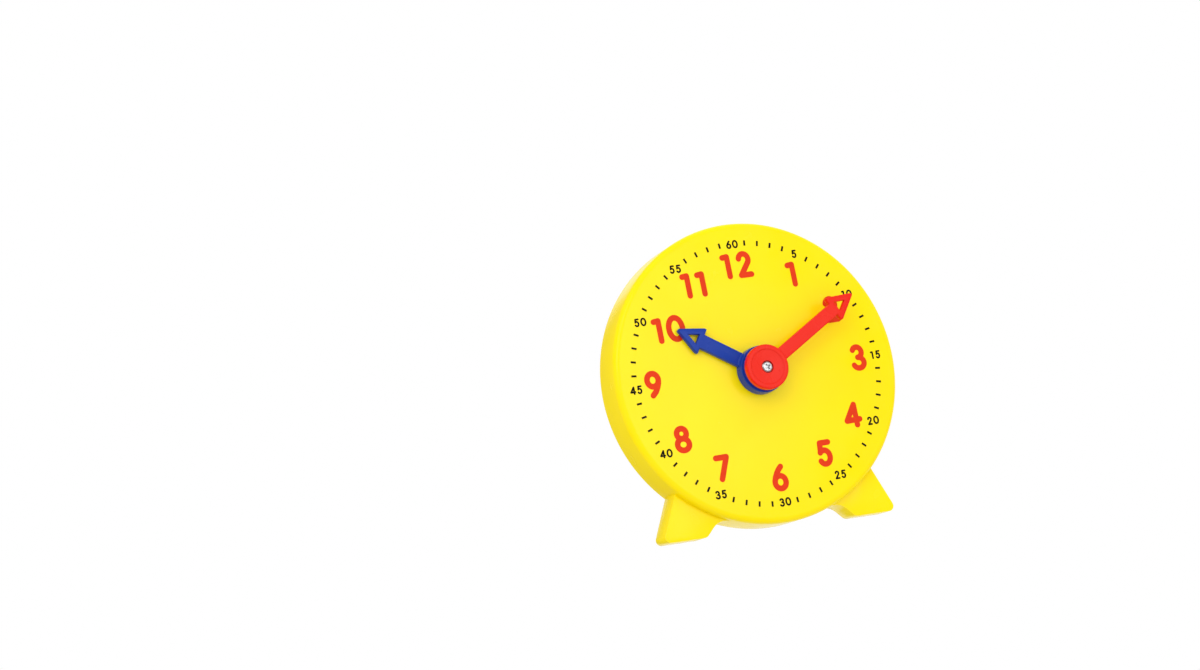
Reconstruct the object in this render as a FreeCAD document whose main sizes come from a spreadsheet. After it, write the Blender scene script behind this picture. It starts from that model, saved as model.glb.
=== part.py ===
# Geared teaching clock on two splayed feet, with hands geared twelve to one.
# Millimetres, +Z up. The origin is on the surface the feet stand on, below the middle
# of the clock's overall depth. The dial looks along -Y.
#
# Every piece is drawn in the dial's own axes and then stood up: x to the right, y up
# towards the twelve, z out of the dial towards the reader, with z = 0 on the dial face.
import FreeCAD, Part
import math
import os
import re
import Sketcher
from FreeCAD import Placement, Rotation, Vector

doc = FreeCAD.newDocument("teaching_clock")

# Driving sizes, in millimetres, degrees or counts.
SIZES = [
    # drum
    ("drum_radius", 50.0),
    ("wall", 2.0),
    ("face_thickness", 2.2),
    ("face_edge_radius", 2.0),
    ("face_edge_flats", 2),
    # feet
    ("foot_drop", 1.0),
    ("foot_setback", 3.3),
    ("foot_depth", 8.8),
    ("foot_outer_bearing", 44.5),
    ("foot_inner_bearing", 25.0),
    ("foot_lean", 24.0),
    ("foot_instep", 44.0),
    ("foot_root", 1.0),
    ("foot_wall", 1.8),
    ("foot_core_relief", 0.4),
    ("toe_radius", 1.8),
    ("heel_radius", 1.2),
    ("instep_radius", 3.5),
    # cover and its screws
    ("lip", 1.1),
    ("cover_clearance", 0.15),
    ("cover_thickness", 2.0),
    ("screw_inset", 7.5),
    ("screw_bearing", 45.0),
    ("screw_boss_radius", 3.2),
    ("boss_rib", 1.4),
    ("boss_rib_share", 0.8),
    ("cover_screw_radius", 1.2),
    ("cover_screw_length", 8.0),
    ("screw_head_radius", 2.2),
    ("screw_head_height", 0.9),
    ("counterbore_depth", 1.0),
    ("screw_clearance", 0.3),
    ("pilot_clearance", 0.04),
    # gear train
    ("gear_module", 1.0),
    ("pressure_angle", 20.0),
    ("tooth_addendum", 0.8),
    ("tooth_dedendum", 1.1),
    ("profile_shift", 0.35),
    ("backlash", 0.16),
    ("pinion_flank_chords", 3),
    ("wheel_flank_chords", 2),
    ("minute_teeth", 10),
    ("wheel_teeth", 30),
    ("pinion_teeth", 8),
    ("hour_teeth", 32),
    ("gear_width", 2.4),
    ("layer_gap", 0.4),
    ("thrust_play", 0.2),
    ("running_fit", 0.07),
    ("seat_fit", 0.04),
    # bearings
    ("bearing_height", 1.2),
    ("bearing_radius", 7.0),
    ("idler_boss_radius", 3.4),
    ("idler_pin_radius", 1.5),
    ("pin_seat", 2.2),
    ("spring_space", 0.9),
    ("spring_thickness", 0.3),
    ("spring_outer_radius", 4.4),
    ("spring_slack", 0.05),
    ("cover_boss", 2.5),
    ("cover_boss_radius", 5.2),
    ("blind_bore", 3.0),
    # shafts
    ("arbor_radius", 2.5),
    ("arbor_square", 3.4),
    ("journal_radius", 2.0),
    ("tube_radius", 4.0),
    ("tube_hex", 6.8),
    # hands
    ("hand_gap", 0.3),
    ("hand_thickness", 1.8),
    ("hand_bevel", 0.4),
    ("head_length", 8.9),
    ("head_width", 8.8),
    ("head_corner", 0.8),
    ("head_hole_start", 1.7),
    ("head_hole_length", 3.7),
    ("head_hole_width", 3.6),
    ("hour_bar_width", 4.8),
    ("minute_bar_width", 4.4),
    ("hour_reach", 30.8),
    ("minute_reach", 40.6),
    ("hour_angle", 301.5),
    ("minute_angle", 59.0),
    # hubs
    ("hour_hub_radius", 7.75),
    ("hour_hub_height", 3.6),
    ("neck_radius", 6.9),
    ("neck_height", 1.3),
    ("disc_radius", 7.4),
    ("disc_thickness", 2.1),
    ("dish_radius", 5.9),
    ("dish_depth", 0.35),
    ("spigot_radius", 3.4),
    ("spigot_length", 2.0),
    ("head_recess_radius", 2.2),
    ("head_seat_depth", 1.25),
    ("socket_web", 0.9),
    ("centre_head_radius", 1.85),
    ("centre_head_height", 1.05),
    ("centre_screw_radius", 0.9),
    ("centre_screw_length", 7.0),
]

sheet = doc.addObject("Spreadsheet::Sheet", "sizes")
for row, (alias, number) in enumerate(SIZES, start=1):
    sheet.set("A%d" % row, alias)
    sheet.set("B%d" % row, str(number))
    sheet.setAlias("B%d" % row, alias)
doc.recompute()
ALIASES = {alias for alias, number in SIZES}

# Depths below the dial face, from the front of the drum to its back.
BEARING_END = "(face_thickness + bearing_height)"
FRONT_LAYER = "(" + BEARING_END + " + thrust_play)"
FRONT_LAYER_END = "(" + FRONT_LAYER + " + gear_width)"
REAR_LAYER = "(" + FRONT_LAYER_END + " + layer_gap)"
REAR_LAYER_END = "(" + REAR_LAYER + " + gear_width)"
COVER_BOSS_FACE = "(" + REAR_LAYER_END + " + spring_space)"
BORE_END = "(" + COVER_BOSS_FACE + " + blind_bore)"
COVER_SEAT = "(" + COVER_BOSS_FACE + " + cover_boss)"
DEPTH = "(" + COVER_SEAT + " + cover_thickness)"

# Heights above the dial face, from the hour hand to the rim of the minute hand's hub.
HOUR_RIM = "(hand_gap + hour_hub_height)"
HOUR_TOP = "(" + HOUR_RIM + " + neck_height)"
DISC_BASE = "(" + HOUR_TOP + " + hand_gap)"
DISC_TOP = "(" + DISC_BASE + " + disc_thickness)"
SPIGOT_END = "(" + DISC_BASE + " - spigot_length)"
HEAD_SEAT = "(" + DISC_TOP + " - head_seat_depth)"
SOCKET_TOP = "(" + HEAD_SEAT + " - socket_web)"

# The idler stands straight above the hands, one centre distance away.
CENTRES = "(gear_module * (minute_teeth + wheel_teeth) / 2)"
FLOOR = "(-drum_radius - foot_drop)"
COVER_RADIUS = "(drum_radius - lip - cover_clearance)"

# The cover's screws: two towards the top, alike on both sides, and one at the bottom.
SCREW_CIRCLE = "(drum_radius - screw_inset)"
SCREW_ACROSS = "(" + SCREW_CIRCLE + " * cos(screw_bearing))"
SCREW_UP = "(" + SCREW_CIRCLE + " * sin(screw_bearing))"
SCREW_AXES = [(SCREW_ACROSS, SCREW_UP), ("-" + SCREW_ACROSS, SCREW_UP), ("0", "-" + SCREW_CIRCLE)]
SCREW_BEARINGS = ["screw_bearing", "180 - screw_bearing", "-90"]


def formula(text):
    """The text with every size in it named as a cell of the sheet."""
    return re.sub("[a-z_]+", lambda m: "sizes." + m.group() if m.group() in ALIASES else m.group(), text)


def value(text):
    return float(sheet.evalExpression(formula(text)))


def stand_up(part, height="0"):
    """Stands a piece up at the dial's place, with its origin at a height above the hands."""
    part.Placement = Placement(Vector(0, 0, 0), Rotation(Vector(1, 0, 0), 90))
    part.setExpression("Placement.Base.y", formula("(" + DISC_TOP + " - " + DEPTH + ") / 2"))
    part.setExpression("Placement.Base.z", formula("drum_radius + foot_drop + " + height))


def new_body(name):
    body = doc.addObject("PartDesign::Body", name)
    body.Label = name
    stand_up(body)
    return body


def new_sketch(body, name, plane, lift="0", turn="0"):
    """A sketch on a plane of the body, lifted along the plane's normal and turned on it."""
    drawing = body.newObject("Sketcher::SketchObject", name)
    support = [item for item in body.Origin.OriginFeatures if item.Role == plane][0]
    drawing.AttachmentSupport = (support, [""])
    drawing.MapMode = "FlatFace"
    drawing.setExpression("AttachmentOffset.Base.z", formula(lift))
    if turn != "0":
        drawing.setExpression("AttachmentOffset.Rotation.Angle", formula(turn))
    return drawing


def place_point(drawing, index, end, across, up):
    """Ties one point of a sketch to its two distances from the sketch's origin."""
    for kind, axis, text in (("DistanceX", -2, across), ("DistanceY", -1, up)):
        if text == "0":
            drawing.addConstraint(Sketcher.Constraint("PointOnObject", index, end, axis))
        else:
            number = drawing.addConstraint(Sketcher.Constraint(kind, -1, 1, index, end, value(text)))
            drawing.setExpression("Constraints[%d]" % number, formula(text))


def add_polygon(drawing, corners):
    """A closed outline through corners, each a pair of formulas."""
    points = [Vector(value(across), value(up), 0) for across, up in corners]
    lines = []
    for start, end in zip(points, points[1:] + points[:1]):
        lines.append(drawing.addGeometry(Part.LineSegment(start, end)))
    for line, after in zip(lines, lines[1:] + lines[:1]):
        drawing.addConstraint(Sketcher.Constraint("Coincident", line, 2, after, 1))
    for line, (across, up) in zip(lines, corners):
        place_point(drawing, line, 1, across, up)


def add_circle(drawing, across, up, radius):
    centre = Vector(value(across), value(up), 0)
    ring = drawing.addGeometry(Part.Circle(centre, Vector(0, 0, 1), value(radius)))
    place_point(drawing, ring, 3, across, up)
    number = drawing.addConstraint(Sketcher.Constraint("Radius", ring, value(radius)))
    drawing.setExpression("Constraints[%d]" % number, formula(radius))


def finish_feature(body, feature, removes):
    """Recomputes the body and makes sure the feature added or removed material."""
    before = 0.0
    if feature.BaseFeature is not None:
        before = feature.BaseFeature.Shape.Volume
    doc.recompute()
    change = body.Shape.Volume - before
    if removes and change > -0.01 or not removes and change < 0.01:
        raise RuntimeError("%s of %s changes nothing" % (feature.Name, body.Label))
    return feature


def pad(body, drawing, name, length, inward=False):
    feature = body.newObject("PartDesign::Pad", name)
    feature.Profile = drawing
    feature.setExpression("Length", formula(length))
    feature.Reversed = inward
    return finish_feature(body, feature, False)


def pocket(body, drawing, name, length, outward=False):
    """Cuts into the dial's depth, or outward, towards the reader."""
    feature = body.newObject("PartDesign::Pocket", name)
    feature.Profile = drawing
    feature.setExpression("Length", formula(length))
    feature.Reversed = outward
    return finish_feature(body, feature, True)


def turned(body, name, corners, removes=False):
    """A solid, or a cut, turned about the axis of the hands from half a section."""
    drawing = new_sketch(body, name + "_section", "XZ_Plane")
    add_polygon(drawing, corners)
    kind = "PartDesign::Groove" if removes else "PartDesign::Revolution"
    feature = body.newObject(kind, name)
    feature.Profile = drawing
    feature.ReferenceAxis = (drawing, ["V_Axis"])
    feature.Angle = 360
    return finish_feature(body, feature, removes)


def mirror_copy(body, name, original):
    """Repeats a feature on the other side of the clock's middle plane."""
    feature = body.newObject("PartDesign::Mirrored", name)
    feature.Originals = [original]
    plane = [item for item in body.Origin.OriginFeatures if item.Role == "YZ_Plane"][0]
    feature.MirrorPlane = (plane, [""])
    body.Tip = feature
    doc.recompute()
    return feature


def dress_edges(body, kind, name, size, chosen):
    """Rounds or bevels the edges of the body's last feature that chosen accepts."""
    base = body.Tip
    names = []
    for index, edge in enumerate(base.Shape.Edges, start=1):
        ends = [vertex.Point for vertex in edge.Vertexes]
        if chosen(edge, ends):
            names.append("Edge%d" % index)
    if not names:
        raise RuntimeError("%s of %s finds no edge" % (name, body.Label))
    feature = body.newObject("PartDesign::" + kind, name)
    feature.Base = (base, names)
    feature.setExpression("Radius" if kind == "Fillet" else "Size", formula(size))
    doc.recompute()
    return feature


def near(number, target):
    return abs(number - target) < 0.01


def post_edge(across, up):
    """Accepts edges that run along the drum's depth at this place, on either side."""
    wanted_across = value(across)
    wanted_up = value(up)

    def chosen(edge, ends):
        if len(ends) != 2 or near(ends[0].z, ends[1].z):
            return False
        return all(near(abs(p.x), wanted_across) and near(p.y, wanted_up) for p in ends)
    return chosen


# Dial housing: one moulding with the dial face, the side wall, two hollow feet, three
# screw bosses and the inner bearings of the hour tube and the idler pin.

def foot_edge_at_floor(bearing, lean):
    """Distance from the middle at which an edge of the foot reaches the floor."""
    drop = "(drum_radius + foot_drop - drum_radius * cos(%s))" % bearing
    return "(drum_radius * sin(%s) + %s * tan(%s))" % (bearing, drop, lean)


def foot_edge_in_wall(bearing, lean):
    """The point where an edge of the foot ends, inside the drum's wall."""
    across = "(drum_radius * sin(%s) - foot_root * tan(%s))" % (bearing, lean)
    up = "(foot_root - drum_radius * cos(%s))" % bearing
    return across, up


def core_corner_on_drum(bearing, lean, side):
    """The corner of the foot's hollow next to the drum, one foot wall in from an edge."""
    step = "foot_wall / (drum_radius * cos(%s - %s)) * 180 / pi" % (bearing, lean)
    angle = "(%s %s %s)" % (bearing, side, step)
    reach = "(drum_radius + foot_core_relief)"
    return "(%s * sin(%s))" % (reach, angle), "(-%s * cos(%s))" % (reach, angle)


TOE = foot_edge_at_floor("foot_outer_bearing", "foot_lean")
HEEL = foot_edge_at_floor("foot_inner_bearing", "foot_instep")

housing = new_body("dial_housing")
flats = int(value("face_edge_flats"))
rounding = ["90 * %d / face_edge_flats" % step for step in range(flats + 1)]
turned(housing, "drum", [
    ("0", "-" + DEPTH),
    ("drum_radius", "-" + DEPTH),
] + [
    ("drum_radius - face_edge_radius * (1 - cos(%s))" % angle, "-face_edge_radius * (1 - sin(%s))" % angle)
    for angle in rounding[:-1]
] + [
    ("drum_radius - face_edge_radius", "0"),
    ("0", "0"),
])

foot_outline = new_sketch(housing, "foot_outline", "XY_Plane", "-foot_setback")
add_polygon(foot_outline, [
    (HEEL, FLOOR),
    (TOE, FLOOR),
    foot_edge_in_wall("foot_outer_bearing", "foot_lean"),
    foot_edge_in_wall("foot_inner_bearing", "foot_instep"),
])
foot = pad(housing, foot_outline, "foot", "foot_depth", inward=True)
mirror_copy(housing, "other_foot", foot)
dress_edges(housing, "Fillet", "toes", "toe_radius", post_edge(TOE, FLOOR))
dress_edges(housing, "Fillet", "heels", "heel_radius", post_edge(HEEL, FLOOR))
dress_edges(
    housing, "Fillet", "insteps", "instep_radius",
    post_edge("drum_radius * sin(foot_inner_bearing)", "-drum_radius * cos(foot_inner_bearing)"))

foot_core_outline = new_sketch(housing, "foot_core_outline", "XY_Plane", "-foot_setback - foot_wall")
add_polygon(foot_core_outline, [
    ("(" + HEEL + " - foot_wall * tan(foot_instep) + foot_wall / cos(foot_instep))", FLOOR + " + foot_wall"),
    ("(" + TOE + " - foot_wall * tan(foot_lean) - foot_wall / cos(foot_lean))", FLOOR + " + foot_wall"),
    core_corner_on_drum("foot_outer_bearing", "foot_lean", "-"),
    core_corner_on_drum("foot_inner_bearing", "foot_instep", "+"),
])
foot_core = pocket(housing, foot_core_outline, "foot_core", "foot_depth")
mirror_copy(housing, "other_foot_core", foot_core)

turned(housing, "hollow", [
    ("0", "-" + BEARING_END),
    ("bearing_radius", "-" + BEARING_END),
    ("bearing_radius", "-face_thickness"),
    ("drum_radius - wall", "-face_thickness"),
    ("drum_radius - wall", "-" + COVER_SEAT),
    ("drum_radius - lip", "-" + COVER_SEAT),
    ("drum_radius - lip", "-" + DEPTH),
    ("0", "-" + DEPTH),
], removes=True)

tube_bore_outline = new_sketch(housing, "tube_bore_outline", "XY_Plane")
add_circle(tube_bore_outline, "0", "0", "tube_radius + running_fit")
pocket(housing, tube_bore_outline, "tube_bore", BEARING_END)

BOSS_LENGTH = "(" + COVER_SEAT + " - face_thickness)"
boss_outline = new_sketch(housing, "boss_outline", "XY_Plane", "-face_thickness")
for across, up in SCREW_AXES:
    add_circle(boss_outline, across, up, "screw_boss_radius")
pad(housing, boss_outline, "screw_bosses", BOSS_LENGTH, inward=True)
for number, bearing in enumerate(SCREW_BEARINGS, start=1):
    rib_outline = new_sketch(housing, "rib_outline_%d" % number, "XY_Plane", "-face_thickness", bearing)
    add_polygon(rib_outline, [
        (SCREW_CIRCLE, "-boss_rib / 2"),
        ("drum_radius - wall / 2", "-boss_rib / 2"),
        ("drum_radius - wall / 2", "boss_rib / 2"),
        (SCREW_CIRCLE, "boss_rib / 2"),
    ])
    pad(housing, rib_outline, "boss_rib_%d" % number, BOSS_LENGTH + " * boss_rib_share", inward=True)
pilot_outline = new_sketch(housing, "pilot_outline", "XY_Plane", "-" + COVER_SEAT)
for across, up in SCREW_AXES:
    add_circle(pilot_outline, across, up, "cover_screw_radius + pilot_clearance")
pocket(housing, pilot_outline, "pilot_holes", "cover_screw_length", outward=True)

idler_boss_outline = new_sketch(housing, "idler_boss_outline", "XY_Plane", "-face_thickness")
add_circle(idler_boss_outline, "0", CENTRES, "idler_boss_radius")
pad(housing, idler_boss_outline, "idler_boss", "bearing_height", inward=True)
pin_seat_outline = new_sketch(housing, "pin_seat_outline", "XY_Plane", "-" + BEARING_END)
add_circle(pin_seat_outline, "0", CENTRES, "idler_pin_radius + seat_fit")
pocket(housing, pin_seat_outline, "pin_seat_hole", "pin_seat", outward=True)


# Rear cover: a flat disc let into the back of the drum, with the rear bearings of the
# arbor and the idler pin and three counterbored screw holes.

cover = new_body("rear_cover")
turned(cover, "cover_disc", [
    ("journal_radius + running_fit", "-" + COVER_BOSS_FACE),
    ("cover_boss_radius", "-" + COVER_BOSS_FACE),
    ("cover_boss_radius", "-" + COVER_SEAT),
    (COVER_RADIUS, "-" + COVER_SEAT),
    (COVER_RADIUS, "-" + DEPTH),
    ("0", "-" + DEPTH),
    ("0", "-" + BORE_END),
    ("journal_radius + running_fit", "-" + BORE_END),
])
PIN_BOSS = "(" + COVER_SEAT + " - " + REAR_LAYER_END + " - thrust_play)"
pin_boss_outline = new_sketch(cover, "pin_boss_outline", "XY_Plane", "-" + COVER_SEAT)
add_circle(pin_boss_outline, "0", CENTRES, "idler_boss_radius")
pad(cover, pin_boss_outline, "pin_boss", PIN_BOSS)
pin_bore_outline = new_sketch(cover, "pin_bore_outline", "XY_Plane", "-" + BORE_END)
add_circle(pin_bore_outline, "0", CENTRES, "idler_pin_radius + seat_fit")
pocket(cover, pin_bore_outline, "pin_bore", BORE_END + " - " + REAR_LAYER_END, outward=True)
screw_hole_outline = new_sketch(cover, "screw_hole_outline", "XY_Plane", "-" + COVER_SEAT)
counterbore_outline = new_sketch(cover, "counterbore_outline", "XY_Plane", "-" + DEPTH)
for across, up in SCREW_AXES:
    add_circle(screw_hole_outline, across, up, "cover_screw_radius + screw_clearance")
    add_circle(counterbore_outline, across, up, "screw_head_radius + screw_clearance")
pocket(cover, screw_hole_outline, "screw_holes", "cover_thickness")
pocket(cover, counterbore_outline, "counterbores", "counterbore_depth", outward=True)


# Hands: a bar with a triangular arrowhead, pierced by a smaller triangle, on a round hub.

def add_arrow(body, bar_width, base, start, reach, turn):
    """The flat arrow of a hand, standing on base, from start to reach, with its hole."""
    shoulder = "(%s - head_length)" % reach
    right = [
        (bar_width + " / 2", start),
        (bar_width + " / 2", shoulder),
        ("head_width / 2", shoulder),
        ("head_width / 2", shoulder + " + head_corner"),
        ("head_corner / 2", reach),
    ]
    left = [("-" + across, up) for across, up in reversed(right)]
    drawing = new_sketch(body, "arrow_outline", "XY_Plane", base, turn)
    add_polygon(drawing, right + left)
    pad(body, drawing, "arrow", "hand_thickness")
    hole = new_sketch(body, "arrow_hole_outline", "XY_Plane", "%s + hand_thickness" % base, turn)
    hole_start = shoulder + " + head_hole_start"
    add_polygon(hole, [
        ("-head_hole_width / 2", hole_start),
        ("head_hole_width / 2", hole_start),
        ("0", hole_start + " + head_hole_length"),
    ])
    pocket(body, hole, "arrow_hole", "hand_thickness")
    top = value(base + " + hand_thickness")
    clear_of_hub = value(start) + 1.0
    inner_reach = value(hole_start)

    def chosen(edge, ends):
        if len(ends) != 2 or not all(near(point.z, top) for point in ends):
            return False
        turned_back = Rotation(Vector(0, 0, 1), -value(turn))
        flat = [turned_back.multVec(point) for point in ends]
        in_hole = all(abs(p.x) < value("head_hole_width / 2") + 0.01 and p.y > inner_reach - 0.01
                      for p in flat) and not any(near(p.y, value(reach)) for p in flat)
        return edge.Curve.TypeId == "Part::GeomLine" and not in_hole and max(p.y for p in flat) > clear_of_hub
    dress_edges(body, "Chamfer", "arrow_bevel", "hand_bevel", chosen)


hour_hand = new_body("hour_hand")
TUBE_BORE = "(arbor_radius + running_fit)"
turned(hour_hand, "hub", [
    (TUBE_BORE, "-" + FRONT_LAYER_END),
    ("tube_radius", "-" + FRONT_LAYER_END),
    ("tube_radius", "hand_gap"),
    ("hour_hub_radius", "hand_gap"),
    ("hour_hub_radius", HOUR_RIM),
    ("neck_radius", HOUR_RIM),
    ("neck_radius", HOUR_TOP),
    ("spigot_radius + hand_gap", HOUR_TOP),
    ("spigot_radius + hand_gap", SPIGOT_END + " - hand_gap"),
    (TUBE_BORE, SPIGOT_END + " - hand_gap"),
])
add_arrow(hour_hand, "hour_bar_width", "hand_gap", "neck_radius", "hour_reach", "-hour_angle")

# The rear end of the tube is a hexagon, which keys the hour wheel.
hex_cut = new_sketch(hour_hand, "hex_cut_outline", "XY_Plane", "-" + FRONT_LAYER_END, "-hour_angle")
add_circle(hex_cut, "0", "0", "tube_radius + 1")
add_polygon(hex_cut, [
    ("tube_hex / sqrt(3) * cos(%d)" % angle, "tube_hex / sqrt(3) * sin(%d)" % angle)
    for angle in range(30, 390, 60)
])
pocket(hour_hand, hex_cut, "tube_hexagon", "gear_width", outward=True)


minute_hand = new_body("minute_hand")
turned(minute_hand, "disc", [
    ("centre_screw_radius + pilot_clearance", SPIGOT_END),
    ("spigot_radius", SPIGOT_END),
    ("spigot_radius", DISC_BASE),
    ("disc_radius", DISC_BASE),
    ("disc_radius", DISC_TOP),
    ("dish_radius", DISC_TOP),
    ("dish_radius", DISC_TOP + " - dish_depth"),
    ("head_recess_radius", DISC_TOP + " - dish_depth"),
    ("head_recess_radius", HEAD_SEAT),
    ("centre_screw_radius + pilot_clearance", HEAD_SEAT),
])
add_arrow(minute_hand, "minute_bar_width", DISC_BASE, "(dish_radius + disc_radius) / 2", "minute_reach",
          "-minute_angle")
socket_outline = new_sketch(minute_hand, "socket_outline", "XY_Plane", SPIGOT_END, "-minute_angle")
SOCKET_HALF = "(arbor_square / 2 + seat_fit)"
add_polygon(socket_outline, [
    ("-" + SOCKET_HALF, "-" + SOCKET_HALF),
    (SOCKET_HALF, "-" + SOCKET_HALF),
    (SOCKET_HALF, SOCKET_HALF),
    ("-" + SOCKET_HALF, SOCKET_HALF),
])
pocket(minute_hand, socket_outline, "arbor_socket", SOCKET_TOP + " - " + SPIGOT_END, outward=True)


# Minute arbor: a round shaft, squared at the front for the hand and at the rear for the
# pinion, with a journal that runs in the cover and a pilot hole for the centre screw.

arbor = new_body("minute_arbor")
ARBOR_TOP = "(" + SOCKET_TOP + " - seat_fit)"
PILOT_END = "(" + HEAD_SEAT + " - centre_screw_length - pilot_clearance)"
turned(arbor, "shaft", [
    ("0", "-" + BORE_END + " + thrust_play"),
    ("journal_radius", "-" + BORE_END + " + thrust_play"),
    ("journal_radius", "-" + REAR_LAYER_END),
    ("arbor_radius", "-" + REAR_LAYER_END),
    ("arbor_radius", ARBOR_TOP),
    ("centre_screw_radius + pilot_clearance", ARBOR_TOP),
    ("centre_screw_radius + pilot_clearance", PILOT_END),
    ("0", PILOT_END),
])


def square_cut(name, lift, length, outward):
    """Cuts the round shaft down to the square that keys a piece."""
    drawing = new_sketch(arbor, name + "_outline", "XY_Plane", lift, "-minute_angle")
    add_circle(drawing, "0", "0", "arbor_radius + 1")
    add_polygon(drawing, [
        ("-arbor_square / 2", "-arbor_square / 2"),
        ("arbor_square / 2", "-arbor_square / 2"),
        ("arbor_square / 2", "arbor_square / 2"),
        ("-arbor_square / 2", "arbor_square / 2"),
    ])
    pocket(arbor, drawing, name, length, outward)


square_cut("hand_square", ARBOR_TOP, ARBOR_TOP + " - " + SPIGOT_END + " + hand_gap", False)
square_cut("pinion_square", "-" + REAR_LAYER_END, "gear_width", True)


# Gears: involute teeth with stub addenda. The two small gears have longer teeth and the
# two large ones shorter, by one profile shift, so that no small tooth is undercut.

def involute(angle):
    return math.tan(angle) - angle


def gear_outline(teeth, shift, first_tooth):
    """A face with the gear's outline; first_tooth is the bearing of one tooth's middle.

    A flank is straight from the root to the base circle, and from there it follows the
    involute in chords, more of them on the small gears, whose flanks are more curved.
    """
    module = value("gear_module")
    pressure = math.radians(value("pressure_angle"))
    pitch = module * teeth / 2
    base = pitch * math.cos(pressure)
    tip = pitch + (value("tooth_addendum") + shift) * module
    root = pitch - (value("tooth_dedendum") - shift) * module
    thickness = module * (math.pi / 2 + 2 * shift * math.tan(pressure)) - value("backlash") / 2
    half_at_base = thickness / (2 * pitch) + involute(pressure)
    chords = int(value("pinion_flank_chords" if shift > 0 else "wheel_flank_chords"))
    profile = [(root, half_at_base)]
    for step in range(chords + 1):
        radius = base + (tip - base) * step / chords
        profile.append((radius, half_at_base - involute(math.acos(base / radius))))

    points = []
    for tooth in range(teeth):
        middle = math.radians(first_tooth) + tooth * 2 * math.pi / teeth
        rising = [(radius, middle - half) for radius, half in profile]
        falling = [(radius, middle + half) for radius, half in reversed(profile)]
        for radius, bearing in rising + falling:
            points.append(Vector(radius * math.cos(bearing), radius * math.sin(bearing), 0))
    return Part.Face(Part.makePolygon(points + points[:1]))


def gear_solid(teeth, shift, first_tooth, front, width):
    """The toothed disc, from the depth front to front plus width behind the dial face."""
    face = gear_outline(int(value(teeth)), shift, first_tooth)
    face.translate(Vector(0, 0, -value(front + " + " + width)))
    return face.extrude(Vector(0, 0, value(width)))


def key_hole(corner_count, across_flats, turn, front, width):
    """A prism to cut from a gear for the square or hexagon that drives it."""
    corner = across_flats / 2 / math.cos(math.pi / corner_count)
    points = []
    for index in range(corner_count + 1):
        bearing = 2 * math.pi * (index + 0.5) / corner_count + math.radians(turn)
        points.append(Vector(corner * math.cos(bearing), corner * math.sin(bearing), 0))
    face = Part.Face(Part.makePolygon(points))
    face.translate(Vector(0, 0, -value(front + " + " + width)))
    return face.extrude(Vector(0, 0, value(width)))


def place_shape(name, shape, height="0"):
    part = doc.addObject("Part::Feature", name)
    part.Label = name
    part.Shape = shape
    stand_up(part, height)
    return part


SHIFT = value("profile_shift")
UP = 90.0
DOWN = -90.0

hour_teeth = int(value("hour_teeth"))
hour_wheel = gear_solid("hour_teeth", -SHIFT, UP + 180.0 / hour_teeth, FRONT_LAYER, "gear_width")
hour_wheel = hour_wheel.cut(key_hole(
    6, value("tube_hex + 2 * seat_fit"), -value("hour_angle"), FRONT_LAYER, "gear_width"))
place_shape("hour_wheel", hour_wheel)

minute_pinion = gear_solid("minute_teeth", SHIFT, UP, REAR_LAYER, "gear_width")
minute_pinion = minute_pinion.cut(key_hole(
    4, value("arbor_square + 2 * seat_fit"), -value("minute_angle"), REAR_LAYER, "gear_width"))
place_shape("minute_pinion", minute_pinion)

wheel_teeth = int(value("wheel_teeth"))
reduction = gear_solid("wheel_teeth", -SHIFT, DOWN + 180.0 / wheel_teeth, REAR_LAYER, "gear_width")
reduction = reduction.fuse(gear_solid(
    "pinion_teeth", SHIFT, DOWN, FRONT_LAYER, "gear_width + layer_gap"))
reduction = reduction.cut(Part.makeCylinder(
    value("idler_pin_radius + running_fit"), value(REAR_LAYER_END + " - " + FRONT_LAYER),
    Vector(0, 0, -value(REAR_LAYER_END))))
place_shape("reduction_gear", reduction, CENTRES)


# Idler pin: a plain steel pin, seated in the dial's boss and in the cover's.

idler_pin = new_body("idler_pin")
pin_outline = new_sketch(idler_pin, "pin_outline", "XY_Plane", "-" + BEARING_END + " + pin_seat - seat_fit")
add_circle(pin_outline, "0", CENTRES, "idler_pin_radius")
pad(idler_pin, pin_outline, "pin", BORE_END + " - " + BEARING_END + " + pin_seat - 2 * seat_fit", inward=True)


# Friction spring: a dished steel washer between the minute pinion and the cover's boss.

spring = new_body("friction_spring")
SPRING_FRONT = "(" + REAR_LAYER_END + " + spring_slack)"
SPRING_BACK = "(" + COVER_BOSS_FACE + " - spring_slack)"
turned(spring, "dished_washer", [
    ("journal_radius + 2 * running_fit", "-" + SPRING_FRONT),
    ("spring_outer_radius", "-" + SPRING_BACK + " + spring_thickness"),
    ("spring_outer_radius", "-" + SPRING_BACK),
    ("journal_radius + 2 * running_fit", "-" + SPRING_FRONT + " - spring_thickness"),
])


# Centre screw: a pan-head self-tapping screw through the minute hand into the arbor.

centre_screw = new_body("centre_screw")
turned(centre_screw, "screw", [
    ("0", HEAD_SEAT + " - centre_screw_length"),
    ("centre_screw_radius", HEAD_SEAT + " - centre_screw_length"),
    ("centre_screw_radius", HEAD_SEAT),
    ("centre_head_radius", HEAD_SEAT),
    ("centre_head_radius", HEAD_SEAT + " + centre_head_height"),
    ("0", HEAD_SEAT + " + centre_head_height"),
])


# Cover screws: a group of like screws, one in each boss, with their heads in the cover.

def cover_screw(across, up):
    under_head = Vector(value(across), value(up), -value(DEPTH + " - counterbore_depth"))
    head_height = Vector(0, 0, value("screw_head_height"))
    shank = Part.makeCylinder(value("cover_screw_radius"), value("cover_screw_length"), under_head)
    head = Part.makeCylinder(value("screw_head_radius"), value("screw_head_height"), under_head - head_height)
    return shank.fuse(head)


place_shape("cover_screws", Part.makeCompound([cover_screw(across, up) for across, up in SCREW_AXES]))


# Every object is checked before anything is written.

doc.recompute()
for item in doc.Objects:
    if "Invalid" in item.State or "Error" in item.State:
        raise RuntimeError("%s failed: %s" % (item.Name, item.State))

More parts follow.
